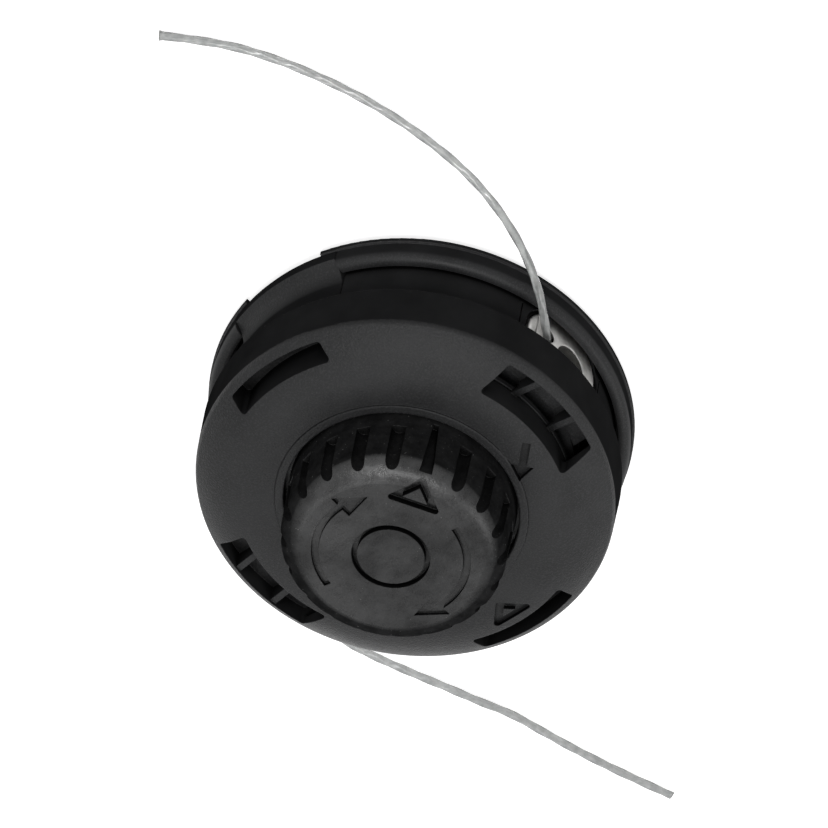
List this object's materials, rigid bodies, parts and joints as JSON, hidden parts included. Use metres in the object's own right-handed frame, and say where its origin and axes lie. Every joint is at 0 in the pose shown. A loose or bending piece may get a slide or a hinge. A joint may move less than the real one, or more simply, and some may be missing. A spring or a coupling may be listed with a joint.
{
  "type": "trimmer head",
  "caption": "Bump-feed string trimmer head: drum housing with line eyelets, snap-fit windowed cover, sprung spool and notched bump knob, with free ends of twisted line",
  "frame": {"origin": "centre of the hub's drive-side face, on the turning axis, where the head stands on a table", "axes": "+Z is the turning axis and points out of the bump knob; +X points at the first eyelet; +Y points at the first latch arm"},
  "size_m": [0.1342, 0.2823, 0.067],
  "materials": {
    "housing_plastic": "black glass-filled nylon, satin moulded",
    "cover_plastic": "black glass-filled nylon, fine moulded texture",
    "knob_plastic": "black nylon, smooth and lightly rubbed",
    "cast_metal": "bare die-cast metal, as cast",
    "steel": "plain steel, oiled",
    "line_nylon": "translucent twisted nylon line"
  },
  "bodies": {
    "head": {"upper_housing": "housing_plastic", "drive_nut": "steel", "lower_cover": "cover_plastic", "line_eyelet_1": "cast_metal", "line_eyelet_2": "cast_metal", "return_spring": "steel", "line_tail_1": "line_nylon", "line_tail_2": "line_nylon"},
    "feed_slide": {"thrust_washer": "steel"},
    "spool_and_knob": {"spool": "housing_plastic", "line_winding_lower": "line_nylon", "line_winding_upper": "line_nylon", "bump_knob": "knob_plastic"}
  },
  "joints": [
    {"name": "bump", "type": "slide", "parent": "head", "child": "feed_slide", "axis": [0, 0, -1], "range_m": [0, 0.006], "stiffness_N_per_m": 3000, "springref_m": -0.004, "deforming": ["return_spring"]},
    {"name": "spool_turn", "type": "hinge", "parent": "feed_slide", "child": "spool_and_knob", "pos_m": [0, 0, 0.03], "axis": [0, 0, 1], "continuous": true}
  ]
}
